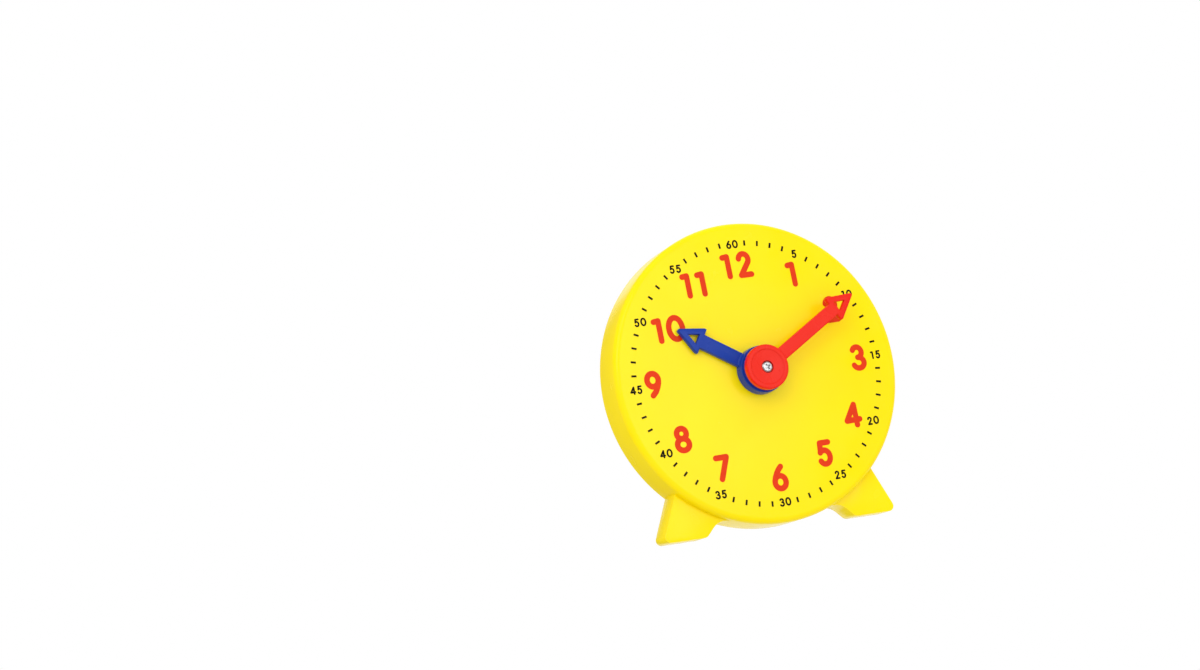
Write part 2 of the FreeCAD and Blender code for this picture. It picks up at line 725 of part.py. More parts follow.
os.makedirs("parts", exist_ok=True)
pieces = [item for item in doc.Objects if item.TypeId in ("PartDesign::Body", "Part::Feature")]
for piece in pieces:
    if piece.Shape.isNull() or not piece.Shape.isValid():
        raise RuntimeError("%s has no valid shape" % piece.Label)
for piece in pieces:
    piece.Shape.exportStep("parts/%s.step" % piece.Label)
    box = piece.Shape.BoundBox
    print("%-16s volume %9.1f  x %6.2f..%6.2f  y %6.2f..%6.2f  z %6.2f..%6.2f" % (
        piece.Label, piece.Shape.Volume, box.XMin, box.XMax, box.YMin, box.YMax, box.ZMin, box.ZMax))
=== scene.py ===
import math

import bmesh
import bpy
from mathutils import Matrix, Quaternion, Vector


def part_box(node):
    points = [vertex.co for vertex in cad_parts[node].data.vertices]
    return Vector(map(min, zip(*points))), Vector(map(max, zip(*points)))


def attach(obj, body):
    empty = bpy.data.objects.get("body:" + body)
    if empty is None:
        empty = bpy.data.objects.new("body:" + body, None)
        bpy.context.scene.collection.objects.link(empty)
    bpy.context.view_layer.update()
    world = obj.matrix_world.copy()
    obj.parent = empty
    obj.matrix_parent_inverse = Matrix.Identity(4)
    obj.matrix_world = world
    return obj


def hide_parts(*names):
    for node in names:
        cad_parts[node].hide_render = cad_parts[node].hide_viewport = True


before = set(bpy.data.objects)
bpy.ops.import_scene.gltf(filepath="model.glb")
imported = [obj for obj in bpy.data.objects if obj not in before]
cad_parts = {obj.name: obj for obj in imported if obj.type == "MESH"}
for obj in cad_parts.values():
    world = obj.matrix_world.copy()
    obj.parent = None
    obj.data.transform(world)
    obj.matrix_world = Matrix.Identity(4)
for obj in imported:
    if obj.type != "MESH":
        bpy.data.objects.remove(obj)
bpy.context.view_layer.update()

# Dial housing
# One yellow ABS moulding: a shallow drum whose closed front is the dial, with a soft edge
# all round it, and two hollow feet. Bosses inside take the cover's screws and the gear pin.

MM = 0.001
housing_low, housing_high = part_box("dial_housing")
drum_radius = (housing_high.x - housing_low.x) / 2 / MM
hands_axis = housing_high.z - drum_radius * MM
dial_face = housing_low.y
drum_depth = (housing_high.y - housing_low.y) / MM
standing_height = hands_axis / MM

wall = 2.0
face_thickness = 2.2
face_edge_radius = 2.0
back_edge_radius = 0.4
lip = 1.1
cover_thickness = 2.0
tube_bore = 4.07
bearing_radius = 7.0
bearing_height = 1.2

foot_setback = 3.3
foot_depth = 8.8
foot_wall = 1.8
foot_root = 1.0
outer_bearing = math.radians(44.5)
inner_bearing = math.radians(25.0)
foot_lean = math.radians(24.0)
foot_instep = math.radians(44.0)
toe_radius = 1.8
heel_radius = 2.2
instep_radius = 6.0
mould_edge = 0.5

screw_inset = 7.5
screw_circle = drum_radius - screw_inset
screw_angles = [math.radians(angle) for angle in (45, 135, 270)]
screw_boss_radius = 3.2
pilot_radius = 1.24
boss_rib = 1.4
rib_share = 0.8
idler_up = 20.0
idler_boss_radius = 3.4
pin_hole = 1.54

yellow_colour = (0.98, 0.76, 0.002)
# How far in from an edge the painted edge highlight reaches.
highlight_radius = 0.45

drum_facets = 256
boss_facets = 32
arc_step = math.radians(12)
bevel_angle = math.radians(35)
crease_angle = math.radians(38)
merge_distance = 0.0001
instep_steps = 6

# The dial's own axes: across, up towards the twelve, and height towards the reader.
dial_to_clock = Matrix(((MM, 0, 0, 0), (0, 0, -MM, dial_face), (0, MM, 0, hands_axis), (0, 0, 0, 1)))


def arc_between(centre, first, last, radius, steps=0):
    """Points on an arc, the short way round from one direction to another."""
    begin = math.atan2(first.y, first.x)
    sweep = (math.atan2(last.y, last.x) - begin + math.pi) % (2 * math.pi) - math.pi
    steps = steps or max(2, math.ceil(abs(sweep) / arc_step))
    angles = [begin + sweep * step / steps for step in range(steps + 1)]
    return [(centre.x + radius * math.cos(a), centre.y + radius * math.sin(a)) for a in angles]


def rounded(corners):
    """A closed outline in which each corner, given as (x, y, radius), is an arc."""
    outline = []
    for index, (x, y, radius) in enumerate(corners):
        here = Vector((x, y))
        if radius == 0:
            outline.append((x, y))
            continue
        back = (Vector(corners[index - 1][:2]) - here).normalized()
        ahead = (Vector(corners[(index + 1) % len(corners)][:2]) - here).normalized()
        half = back.angle(ahead) / 2
        centre = here + (back + ahead).normalized() * radius / math.sin(half)
        first = here + back * radius / math.tan(half) - centre
        last = here + ahead * radius / math.tan(half) - centre
        outline += arc_between(centre, first, last, radius)
    return outline


def join(mesh, ring, beyond):
    """A band of faces between two closed rings that have as many points."""
    for index in range(len(ring)):
        after = (index + 1) % len(ring)
        mesh.faces.new((ring[index], ring[after], beyond[after], beyond[index]))


def cap(mesh, rings):
    """A flat face inside the first ring, with the other rings as holes in it."""
    edges = []
    for ring in rings:
        for pair in zip(ring, ring[1:] + ring[:1]):
            edges.append(mesh.edges.get(pair) or mesh.edges.new(pair))
    bmesh.ops.triangle_fill(mesh, edges=edges, use_beauty=True)


def add_turned(mesh, profile, turns):
    """Turns a closed profile of (radius, height) about the axis of the hands."""
    rings = []
    for turn in range(turns):
        angle = 2 * math.pi * turn / turns
        rings.append([mesh.verts.new((r * math.cos(angle), r * math.sin(angle), h)) for r, h in profile])
    for ring, following in zip(rings, rings[1:] + rings[:1]):
        join(mesh, following, ring)


def add_plate(mesh, loops, bottom, top):
    """A plate between two heights: the first loop is its edge and the others are holes."""
    levels = []
    for height in (bottom, top):
        level = [[mesh.verts.new((x, y, height)) for x, y in loop] for loop in loops]
        cap(mesh, level)
        levels.append(level)
    for lower, upper in zip(*levels):
        join(mesh, lower, upper)


def add_bevel(item, name, width, segments, limit, angle):
    """Rounds the edges that have a weight, or those that are sharper than an angle."""
    rounding = item.modifiers.new(name, "BEVEL")
    rounding.width = width * MM
    rounding.segments = segments
    rounding.limit_method = limit
    rounding.angle_limit = angle


def bake(item):
    """Turns an object's modifiers into plain mesh."""
    evaluated = item.evaluated_get(bpy.context.evaluated_depsgraph_get())
    data = bpy.data.meshes.new_from_object(evaluated)
    item.modifiers.clear()
    item.data = data


def shade(item):
    """Smooth shading, with a crease where the surface folds."""
    item.data.shade_smooth()
    item.data.set_sharp_from_angle(angle=crease_angle)


def make_piece(name, mesh, material, place=dial_to_clock, edge=0.0):
    """An object from the mesh, with its edges rounded where a radius is given."""
    bmesh.ops.remove_doubles(mesh, verts=mesh.verts, dist=merge_distance)
    bmesh.ops.recalc_face_normals(mesh, faces=mesh.faces)
    data = bpy.data.meshes.new(name)
    mesh.to_mesh(data)
    mesh.free()
    data.transform(place)
    item = bpy.data.objects.new(name, data)
    bpy.context.collection.objects.link(item)
    data.materials.append(material)
    if edge:
        add_bevel(item, "edges", edge, 3, "ANGLE", bevel_angle)
        bake(item)
    shade(item)
    return item


def feed(tree, node, inputs):
    """Sets each input of a node, given as a plain value or as the socket that it comes from."""
    for key, value in inputs.items():
        if isinstance(value, bpy.types.NodeSocket):
            tree.links.new(value, node.inputs[key])
        else:
            node.inputs[key].default_value = value


def add_node(tree, kind, inputs):
    """A node with its inputs."""
    node = tree.nodes.new(kind)
    feed(tree, node, inputs)
    return node


def add_math(tree, operation, first, second):
    """The result of a sum with two values."""
    node = add_node(tree, "ShaderNodeMath", {0: first, 1: second})
    node.operation = operation
    return node.outputs[0]


def add_range(tree, value, from_low, from_high, to_low, to_high, kind="LINEAR"):
    """A value moved from one range to another."""
    node = add_node(tree, "ShaderNodeMapRange", {
        "Value": value, "From Min": from_low, "From Max": from_high, "To Min": to_low, "To Max": to_high})
    node.interpolation_type = kind
    return node.outputs["Result"]


def add_noise(tree, place, scale, detail):
    """Noise over a piece."""
    node = add_node(tree, "ShaderNodeTexNoise", {"Vector": place, "Scale": scale, "Detail": detail})
    return node.outputs["Fac"]


def add_tones(tree, amount, low, dark, high, light):
    """A colour that goes from a darker tone to a lighter one between two amounts."""
    tone = add_node(tree, "ShaderNodeValToRGB", {"Fac": amount})
    for element, position, colour in zip(tone.color_ramp.elements, (low, high), (dark, light)):
        element.position = position
        element.color = list(colour) + [1]
    return tone.outputs["Color"]


def add_relief(tree, height, strength, distance):
    """A fine unevenness of the surface."""
    node = add_node(tree, "ShaderNodeBump", {
        "Height": height, "Strength": strength, "Distance": distance * MM})
    return node.outputs["Normal"]


def new_finish(name):
    """A material, its tree and shader, and the coordinates of the piece that it is on."""
    material = bpy.data.materials.new(name)
    material.use_nodes = True
    tree = material.node_tree
    place = tree.nodes.new("ShaderNodeTexCoord").outputs["Object"]
    return material, tree, tree.nodes["Principled BSDF"], place


def moulded_plastic(name, colour, roughness, shine=0.2, edge_highlight=0.25, orange_peel=0.12, flow=0.04):
    """Satin plastic: faint flow clouds in the colour, a fine mould grain, and a painted highlight that pales
    the edges in patches.
    """
    material, tree, shader, place = new_finish(name)
    clouds = add_noise(tree, place, 38, 3)
    darker = [c * (1 - flow) for c in colour]
    lighter = [min(1, c * (1 + flow * 0.4)) for c in colour]
    tone = add_tones(tree, clouds, 0.3, darker, 0.7, lighter)
    patch_noise = add_noise(tree, place, 90, 6)

    # Painted highlight on the edges: there the colour is a little paler, in patches.
    around = add_node(tree, "ShaderNodeBevel", {"Radius": highlight_radius * MM})
    around.samples = 4
    surface = tree.nodes.new("ShaderNodeNewGeometry").outputs["Normal"]
    alike = add_node(tree, "ShaderNodeVectorMath", {0: around.outputs["Normal"], 1: surface})
    alike.operation = "DOT_PRODUCT"
    highlight_at_edge = add_range(tree, alike.outputs["Value"], 0.99, 0.8, 0, edge_highlight)
    highlight_patches = add_math(tree, "MULTIPLY", highlight_at_edge, patch_noise)
    highlight_tone = [c * 0.7 + 0.3 * max(colour) for c in colour] + [1]
    highlighted = add_node(tree, "ShaderNodeMixRGB", {"Fac": highlight_patches, "Color1": tone, "Color2": highlight_tone})

    grain = add_noise(tree, place, 1400, 2)
    feed(tree, shader, {
        "Base Color": highlighted.outputs["Color"],
        "Roughness": add_range(tree, patch_noise, 0.3, 0.7, roughness - 0.06, roughness + 0.08),
        "Normal": add_relief(tree, grain, orange_peel, 0.05),
        "IOR": 1.5,
        "Specular IOR Level": shine,
    })
    return material


yellow = moulded_plastic("yellow_plastic", yellow_colour, 0.2)

housing = bmesh.new()
cover_seat = drum_depth - cover_thickness
add_turned(housing, rounded([
    (tube_bore, 0, 0),
    (drum_radius, 0, face_edge_radius),
    (drum_radius, -drum_depth, back_edge_radius),
    (drum_radius - lip, -drum_depth, 0),
    (drum_radius - lip, -cover_seat, 0),
    (drum_radius - wall, -cover_seat, 0),
    (drum_radius - wall, -face_thickness, 0),
    (bearing_radius, -face_thickness, 0),
    (bearing_radius, -face_thickness - bearing_height, 0),
    (tube_bore, -face_thickness - bearing_height, 0),
]), drum_facets)


def foot_edge(bearing, lean, height):
    """How far out an edge of the foot is, at a height above the floor."""
    drop = standing_height - drum_radius * math.cos(bearing) - height
    return drum_radius * math.sin(bearing) + drop * math.tan(lean)


def instep_arc():
    """The hollow arc that leads from the foot's inner edge into the drum."""
    along = Vector((-math.sin(foot_instep), math.cos(foot_instep)))
    outward = Vector((-math.cos(foot_instep), -math.sin(foot_instep)))
    corner = Vector((drum_radius * math.sin(inner_bearing), -drum_radius * math.cos(inner_bearing)))
    shifted = corner + outward * instep_radius
    reach = drum_radius + instep_radius
    across = shifted.dot(along)
    half_chord = math.sqrt(across ** 2 - shifted.length_squared + reach ** 2)
    centre = shifted + along * min(-across - half_chord, -across + half_chord, key=abs)
    return arc_between(centre, -outward, -centre.normalized(), instep_radius, instep_steps)


instep = instep_arc()
floor_up = -standing_height
root_radius = drum_radius - foot_root
root_up = foot_root - drum_radius * math.cos(outer_bearing)
sole_corners = rounded([
    (instep[0][0], instep[0][1], 0),
    (foot_edge(inner_bearing, foot_instep, 0), floor_up, heel_radius),
    (foot_edge(outer_bearing, foot_lean, 0), floor_up, toe_radius),
    (drum_radius * math.sin(outer_bearing) - foot_root * math.tan(foot_lean), root_up, 0),
    (root_radius * math.sin(inner_bearing), -root_radius * math.cos(inner_bearing), 0),
    (instep[-1][0], instep[-1][1], 0),
])
foot_outline = sole_corners + list(reversed(instep))[1:-1]


def core_top(bearing, lean, side):
    """Where an edge of the foot's hollow meets the drum."""
    angle = bearing + side * foot_wall / (drum_radius * math.cos(bearing - lean))
    return drum_radius * math.sin(angle), -drum_radius * math.cos(angle)


inner_slant = foot_wall / math.cos(foot_instep)
outer_slant = foot_wall / math.cos(foot_lean)
core_outline = [
    (foot_edge(inner_bearing, foot_instep, foot_wall) + inner_slant, floor_up + foot_wall),
    (foot_edge(outer_bearing, foot_lean, foot_wall) - outer_slant, floor_up + foot_wall),
    core_top(outer_bearing, foot_lean, -1),
    core_top(inner_bearing, foot_instep, 1),
]


def add_foot(mesh, side):
    """One hollow foot, open at the back: a front plate with a wall round its edge."""
    outline = [(side * x, y) for x, y in foot_outline]
    core = [(side * x, y) for x, y in core_outline]
    front = -foot_setback
    floor_of_core = front - foot_wall
    back = front - foot_depth
    rings = {}
    for key, loop, height in (("front", outline, front), ("rim", outline, back),
                              ("mouth", core, back), ("floor", core, floor_of_core)):
        rings[key] = [mesh.verts.new((x, y, height)) for x, y in loop]
    join(mesh, rings["front"], rings["rim"])
    join(mesh, rings["mouth"], rings["floor"])
    cap(mesh, [rings["front"]])
    cap(mesh, [rings["floor"]])
    cap(mesh, [rings["rim"], rings["mouth"]])


feet = bmesh.new()
add_foot(feet, 1)
add_foot(feet, -1)
feet_piece = make_piece("housing_feet", feet, yellow, edge=mould_edge)


def add_boss(mesh, x, y, hole, radius, end):
    """A hollow post that stands on the inside of the dial and ends at a height."""
    rings = []
    angles = [2 * math.pi * turn / boss_facets for turn in range(boss_facets)]
    for reach, height in ((hole, -face_thickness), (radius, -face_thickness), (radius, end), (hole, end)):
        circle = [(x + reach * math.cos(a), y + reach * math.sin(a), height) for a in angles]
        rings.append([mesh.verts.new(point) for point in circle])
    for ring, following in zip(rings, rings[1:] + rings[:1]):
        join(mesh, ring, following)


def add_boss_rib(mesh, angle):
    """The web that ties a screw boss to the side wall."""
    outward = Vector((math.cos(angle), math.sin(angle)))
    across = Vector((-outward.y, outward.x)) * boss_rib / 2
    inner = outward * (screw_circle + pilot_radius)
    outer = outward * (drum_radius - wall / 2)
    corners = [inner - across, outer - across, outer + across, inner + across]
    end = -face_thickness - rib_share * (cover_seat - face_thickness)
    add_plate(mesh, [[tuple(corner) for corner in corners]], end, -face_thickness)


for angle in screw_angles:
    boss_x = screw_circle * math.cos(angle)
    boss_y = screw_circle * math.sin(angle)
    add_boss(housing, boss_x, boss_y, pilot_radius, screw_boss_radius, -cover_seat)
    add_boss_rib(housing, angle)
add_boss(housing, 0, idler_up, pin_hole, idler_boss_radius, -face_thickness - bearing_height)

drum_piece = make_piece("housing_drum", housing, yellow)
for item in (drum_piece, feet_piece):
    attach(item, "clock_body")
    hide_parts("dial_housing")


# Dial print
# Two passes of pad-printing ink on the dial: black minute marks and minute numbers round
# the edge, and bold red hour numerals, drawn with one round-ended stroke width.

ink_height = 0.05
ink_root = -0.02
ink_layer = 0.003
pen_arc_step = 10
pen_end_steps = 8
minute_angle_step = 6
red_ink_colour = (0.76, 0.038, 0.001)
black_ink_colour = (0.003, 0.003, 0.002)
mark_radius = 43.3
mark_length = 1.75
mark_width = 0.65
minute_number_radius = 43.1
minute_stroke = 0.56
minute_height = 2.8
minute_pitch = 2.25
hour_stroke = 1.92
hour_height = 9.0
hour_pitches = {10: 6.45, 11: 5.3, 12: 6.95}

# The print lies a little off true on the drum: turned anticlockwise and shifted left and down.
print_turn = math.radians(1.6)
print_shift = Vector((-0.3, -0.36, 0))
print_to_clock = dial_to_clock @ Matrix.Translation(print_shift) @ Matrix.Rotation(print_turn, 4, "Z")

# Where the middle of each hour numeral is printed, across and up from the middle of the print.
hour_places = {
    12: (-0.2, 36.0), 1: (18.95, 30.7), 2: (31.0, 17.2), 3: (36.7, -0.1),
    4: (30.6, -18.6), 5: (17.6, -29.6), 6: (0.0, -35.1), 7: (-19.5, -29.0),
    8: (-30.9, -17.9), 9: (-37.3, 1.0), 10: (-28.8, 18.0), 11: (-16.4, 31.4),
}


def printing_ink(name, colour, roughness):
    """Thin ink with a slightly uneven film."""
    material, tree, shader, place = new_finish(name)
    film = add_noise(tree, place, 420, 4)
    feed(tree, shader, {
        "Base Color": add_tones(tree, film, 0.35, [c * 0.92 for c in colour], 0.65, colour),
        "Normal": add_relief(tree, film, 0.1, 0.02),
        "Roughness": roughness,
        "Specular IOR Level": 0.15,
    })
    return material


red_ink = printing_ink("red_ink", red_ink_colour, 0.4)
black_ink = printing_ink("black_ink", black_ink_colour, 0.45)


def new_tree(name, inputs):
    """A tree that makes a geometry, with its inputs given as names and kinds."""
    tree = bpy.data.node_groups.new(name, "GeometryNodeTree")
    for label, kind in inputs.items():
        tree.interface.new_socket(label, in_out="INPUT", socket_type="NodeSocket" + kind)
    tree.interface.new_socket("Geometry", in_out="OUTPUT", socket_type="NodeSocketGeometry")
    return tree, tree.nodes.new("NodeGroupInput").outputs


def end_tree(tree, geometry):
    """Ends a tree with the geometry that it gives."""
    add_node(tree, "NodeGroupOutput", {"Geometry": geometry})


def turned_about_z(tree, angle):
    """A rotation in a tree by an angle about the axis of the hands."""
    axes = add_node(tree, "ShaderNodeCombineXYZ", {"Z": angle})
    return add_node(tree, "FunctionNodeEulerToRotation", {0: axes.outputs[0]}).outputs[0]


def end_copies(tree, copies, material):
    """Ends a tree with real copies that are all of one material."""
    real = add_node(tree, "GeometryNodeRealizeInstances", {"Geometry": copies.outputs["Instances"]})
    covered = add_node(tree, "GeometryNodeSetMaterial", {
        "Geometry": real.outputs["Geometry"], "Material": material})
    end_tree(tree, covered.outputs["Geometry"])


def minute_mark_tree():
    """Marks at every minute round a circle, left out where a minute number stands."""
    tree, given = new_tree("minute_marks", {
        "Radius": "Float", "Mark size": "Vector", "Marks": "Int", "Numbered": "Int", "Ink": "Material"})
    circle = add_node(tree, "GeometryNodeMeshCircle", {"Vertices": given["Marks"], "Radius": given["Radius"]})
    index = tree.nodes.new("GeometryNodeInputIndex").outputs["Index"]
    step = add_math(tree, "DIVIDE", 2 * math.pi, given["Marks"])
    mark = add_node(tree, "GeometryNodeMeshCube", {"Size": given["Mark size"]})
    copies = add_node(tree, "GeometryNodeInstanceOnPoints", {
        "Points": circle.outputs["Mesh"],
        "Selection": add_math(tree, "MODULO", index, given["Numbered"]),
        "Instance": mark.outputs["Mesh"],
        "Rotation": turned_about_z(tree, add_math(tree, "MULTIPLY", index, step)),
    })
    end_copies(tree, copies, given["Ink"])
    return tree


def grown(name, tree, given, start=None):
    """The plain mesh that a node tree makes from the values given to its named inputs."""
    item = bpy.data.objects.new(name, start or bpy.data.meshes.new(name))
    bpy.context.collection.objects.link(item)
    modifier = item.modifiers.new("grown", "NODES")
    modifier.node_group = tree
    for socket in tree.interface.items_tree:
        if socket.item_type == "SOCKET" and socket.name in given:
            modifier[socket.identifier] = given[socket.name]
    item.update_tag()
    bake(item)
    return item


marks = grown("minute_marks", minute_mark_tree(), {
    "Radius": mark_radius,
    "Mark size": (mark_length, mark_width, 2 * ink_height),
    "Marks": 60,
    "Numbered": 5,
    "Ink": black_ink,
})
marks.data.transform(print_to_clock)


def arc(centre_x, centre_y, radius_x, radius_y, begin, end):
    """Points along part of an ellipse, between two angles in degrees."""
    steps = max(3, math.ceil(abs(end - begin) / pen_arc_step))
    path = []
    for step in range(steps + 1):
        angle = math.radians(begin + (end - begin) * step / steps)
        path.append((centre_x + radius_x * math.cos(angle), centre_y + radius_y * math.sin(angle)))
    return path


# Each figure as pen strokes, on a grid 7.3 high from the lowest stroke to the highest.
figure_grid = 7.3
figures = {
    "0": [arc(0, 3.65, 2.45, 3.65, 0, 180), arc(0, 3.65, 2.45, 3.65, 180, 360)],
    "1": [[(0.85, 0.1), (0.85, 6.95)], [(0.85, 6.95), (-0.8, 6.75)]],
    "2": [arc(-0.35, 5.35, 1.75, 1.95, 168, -35), [(1.08, 4.23), (-2.1, 0)], [(-2.1, 0), (1.65, 0)]],
    "3": [arc(-0.05, 5.5, 1.7, 1.8, 150, -90), arc(-0.05, 1.85, 2.0, 1.85, 90, -158)],
    "4": [[(0.8, 7.0), (-2.75, 1.75)], [(-2.75, 1.75), (2.1, 1.85)], [(0.8, 7.0), (0.8, 0)]],
    "5": [[(1.75, 7.2), (-1.3, 7.2)], [(-1.3, 7.2), (-1.6, 4.1)], arc(-0.35, 2.3, 1.95, 2.35, 135, -149)],
    "6": [[(0.9, 7.3), (-0.1, 6.3), (-1.0, 5.1), (-1.65, 3.9), (-2.1, 2.6)],
          arc(-0.15, 2.15, 2.0, 2.15, 0, 180), arc(-0.15, 2.15, 2.0, 2.15, 180, 360)],
    "7": [[(-1.45, 7.15), (2.35, 7.15)], [(2.35, 7.15), (-0.55, 0)]],
    "8": [arc(0, 5.6, 1.7, 1.7, 0, 180), arc(0, 5.6, 1.7, 1.7, 180, 360),
          arc(0, 1.95, 2.1, 1.95, 0, 180), arc(0, 1.95, 2.1, 1.95, 180, 360)],
    "9": [[(2.3, 4.9), (2.15, 4.0), (1.6, 2.6), (0.7, 1.1), (-0.5, 0)],
          arc(0.3, 5.1, 2.0, 2.2, 0, 180), arc(0.3, 5.1, 2.0, 2.2, 180, 360)],
}


def pen_stroke(path, width):
    """The outline of a stroke along a path, with round ends."""
    sides = ([], [])
    for index, (x, y) in enumerate(path):
        before = Vector(path[max(index - 1, 0)])
        after = Vector(path[min(index + 1, len(path) - 1)])
        along = (after - before).normalized()
        for side, sign in zip(sides, (1, -1)):
            side.append((x - sign * along.y * width / 2, y + sign * along.x * width / 2))
    outline = []
    for side, end in ((list(reversed(sides[0])), path[0]), (sides[1], path[-1])):
        outline += side
        begin = math.atan2(side[-1][1] - end[1], side[-1][0] - end[0])
        for step in range(1, pen_end_steps):
            angle = begin + math.pi * step / pen_end_steps
            outline.append((end[0] + width / 2 * math.cos(angle), end[1] + width / 2 * math.sin(angle)))
    return outline


def add_number(mesh, text, place, height, stroke, pitch):
    """Prints a number with its middle at a place on the dial."""
    scale = (height - stroke) / figure_grid
    for order, figure in enumerate(text):
        left = (order - (len(text) - 1) / 2) * pitch
        for layer, path in enumerate(figures[figure]):
            moved = [(place[0] + left + x * scale, place[1] + (y - figure_grid / 2) * scale) for x, y in path]
            add_plate(mesh, [pen_stroke(moved, stroke)], ink_root, ink_height + ink_layer * layer)


hours = bmesh.new()
for hour, place in hour_places.items():
    add_number(hours, str(hour), place, hour_height, hour_stroke, hour_pitches.get(hour, 0))
hour_numerals = make_piece("hour_numerals", hours, red_ink, print_to_clock)

minutes = bmesh.new()
for minute in range(5, 65, 5):
    bearing = math.radians(minute * minute_angle_step)
    place = (minute_number_radius * math.sin(bearing), minute_number_radius * math.cos(bearing))
    add_number(minutes, str(minute), place, minute_height, minute_stroke, minute_pitch)
minute_numbers = make_piece("minute_numbers", minutes, black_ink, print_to_clock)

for item in (marks, hour_numerals, minute_numbers):
    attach(item, "clock_body")


# Rear cover and its screws
# A flat disc of the same yellow plastic, let into the back of the drum and held by three
# zinc-plated pan-head screws with cross recesses, which sit in counterbores.

screw_head_radius = 2.2
screw_head_height = 0.9
screw_shank_radius = 1.2
screw_shank_length = 8.0
counterbore = 1.0
screw_seat = drum_depth - counterbore
screw_facets = 64
zinc_colour = (0.72, 0.73, 0.75)
loose_gap = 0.002
fold_angle = math.radians(30)


def even_shading_tree():
    """Joins a solid's loose triangles and shades its round surfaces smooth."""
    tree, given = new_tree("even_shading", {"Geometry": "Geometry"})
    joined = add_node(tree, "GeometryNodeMergeByDistance", {
        "Geometry": given["Geometry"], "Distance": loose_gap * MM})
    smooth = add_node(tree, "GeometryNodeSetShadeSmooth", {0: joined.outputs["Geometry"]})
    fold = tree.nodes.new("GeometryNodeInputMeshEdgeAngle").outputs["Unsigned Angle"]
    steep = add_node(tree, "FunctionNodeCompare", {0: fold, 1: fold_angle})
    steep.operation = "GREATER_THAN"
    sharp = add_node(tree, "GeometryNodeSetShadeSmooth", {
        0: smooth.outputs[0], "Selection": steep.outputs["Result"], "Shade Smooth": False})
    sharp.domain = "EDGE"
    end_tree(tree, sharp.outputs[0])
    return tree


even_shading = even_shading_tree()


def dress(node, material):
    """Gives a solid of the frame its finish."""
    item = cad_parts[node]
    item.modifiers.new("even_shading", "NODES").node_group = even_shading
    for slot in item.material_slots:
        slot.material = material
    if not item.material_slots:
        item.data.materials.append(material)


def bright_steel(name, colour, roughness):
    """Bright steel with fine specks and a little uneven gloss."""
    material, tree, shader, place = new_finish(name)
    wear = add_noise(tree, place, 1500, 5)
    feed(tree, shader, {
        "Base Color": add_tones(tree, wear, 0.3, [c * 0.8 for c in colour], 0.6, colour),
        "Roughness": add_range(tree, wear, 0, 1, roughness - 0.08, roughness + 0.12),
        "Normal": add_relief(tree, wear, 0.15, 0.01),
        "Metallic": 1.0,
    })
    return material


zinc = bright_steel("zinc_plating", zinc_colour, 0.3)
dress("rear_cover", yellow)


def cross_head_screw(name, head_radius, head_height, shank_radius, shank_length, material):
    """A pan-head screw that stands on its seat at height 0, with a cross recess."""
    mesh = bmesh.new()
    add_turned(mesh, rounded([
        (0, -shank_length, 0),
        (shank_radius * 0.3, -shank_length, 0),
        (shank_radius, -shank_length + shank_radius, 0),
        (shank_radius, 0, 0),
        (head_radius, 0, 0.1),
        (head_radius, head_height * 0.7, head_height * 0.3),
        (head_radius * 0.78, head_height, head_height * 0.4),
        (0, head_height, 0),
    ]), screw_facets)
    screw = make_piece(name, mesh, material, Matrix.Identity(4))

    # The recess narrows towards its floor, its wings more than their width.
    recess = bmesh.new()
    wing = head_radius * 0.6
    web = head_radius * 0.18
    above = (head_height + 0.2, wing, web)
    floor = (head_height * 0.1, wing * 0.45, web * 0.8)
    for crossed in (False, True):
        rings = []
        for height, half_wing, half_web in (above, floor):
            half_x, half_y = (half_web, half_wing) if crossed else (half_wing, half_web)
            corners = [(x * half_x, y * half_y, height) for x, y in ((-1, -1), (1, -1), (1, 1), (-1, 1))]
            rings.append([recess.verts.new(corner) for corner in corners])
        for ring in rings:
            recess.faces.new(ring)
        join(recess, rings[0], rings[1])
    cutter = make_piece(name + "_recess", recess, material, Matrix.Identity(4))
    cut = screw.modifiers.new("recess", "BOOLEAN")
    cut.object = cutter
    cut.operation = "DIFFERENCE"
    cut.solver = "EXACT"
    cut.use_self = True
    bake(screw)
    bpy.data.objects.remove(cutter)
    shade(screw)
    return screw


def screws_tree():
    """A screw on each point, each left by the screwdriver at its own turn."""
    tree, given = new_tree("driven_screws", {"Geometry": "Geometry", "Screw": "Object", "Finish": "Material"})
    screw = add_node(tree, "GeometryNodeObjectInfo", {"Object": given["Screw"]})
    turn = add_node(tree, "FunctionNodeRandomValue", {"Seed": 4})
    least, most = [socket for socket in turn.inputs if socket.type == "VALUE"][:2]
    least.default_value = 0.0
    most.default_value = math.pi / 2
    angle = [socket for socket in turn.outputs if socket.type == "VALUE"][0]
    copies = add_node(tree, "GeometryNodeInstanceOnPoints", {
        "Points": given["Geometry"],
        "Instance": screw.outputs["Geometry"],
        "Rotation": turned_about_z(tree, angle),
    })
    end_copies(tree, copies, given["Finish"])
    return tree


one_screw = cross_head_screw(
    "cover_screw", screw_head_radius, screw_head_height, screw_shank_radius, screw_shank_length, zinc)
seat_points = [(screw_circle * math.cos(a), -screw_circle * math.sin(a), 0) for a in screw_angles]
seats = bpy.data.meshes.new("screw_seats")
seats.from_pydata(seat_points, [], [])
cover_screws = grown("cover_screw_set", screws_tree(), {"Screw": one_screw, "Finish": zinc}, seats)
bpy.data.objects.remove(one_screw)

# The screws face the back, so they are turned over about the line from three to nine.
facing_back = Matrix(((1, 0, 0, 0), (0, -1, 0, 0), (0, 0, -1, -screw_seat), (0, 0, 0, 1)))
cover_screws.data.transform(dial_to_clock @ facing_back)
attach(cover_screws, "clock_body")
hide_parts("cover_screws")


# Hands
# Two flat arrows of coloured ABS, each moulded in one with a round hub. The blue hour hand
# lies close to the dial, and the red minute hand stands above it on a tall hub.

hand_gap = 0.3
hand_thickness = 1.8
head_length = 8.9
head_width = 8.8
head_corner = 0.8
hole_start = 1.7
hole_length = 3.7
hole_width = 3.6
hand_edge = 0.4
hole_edge_share = 0.5
eased_edge = 0.1
eased_angle = math.radians(50)
nearly = 0.001

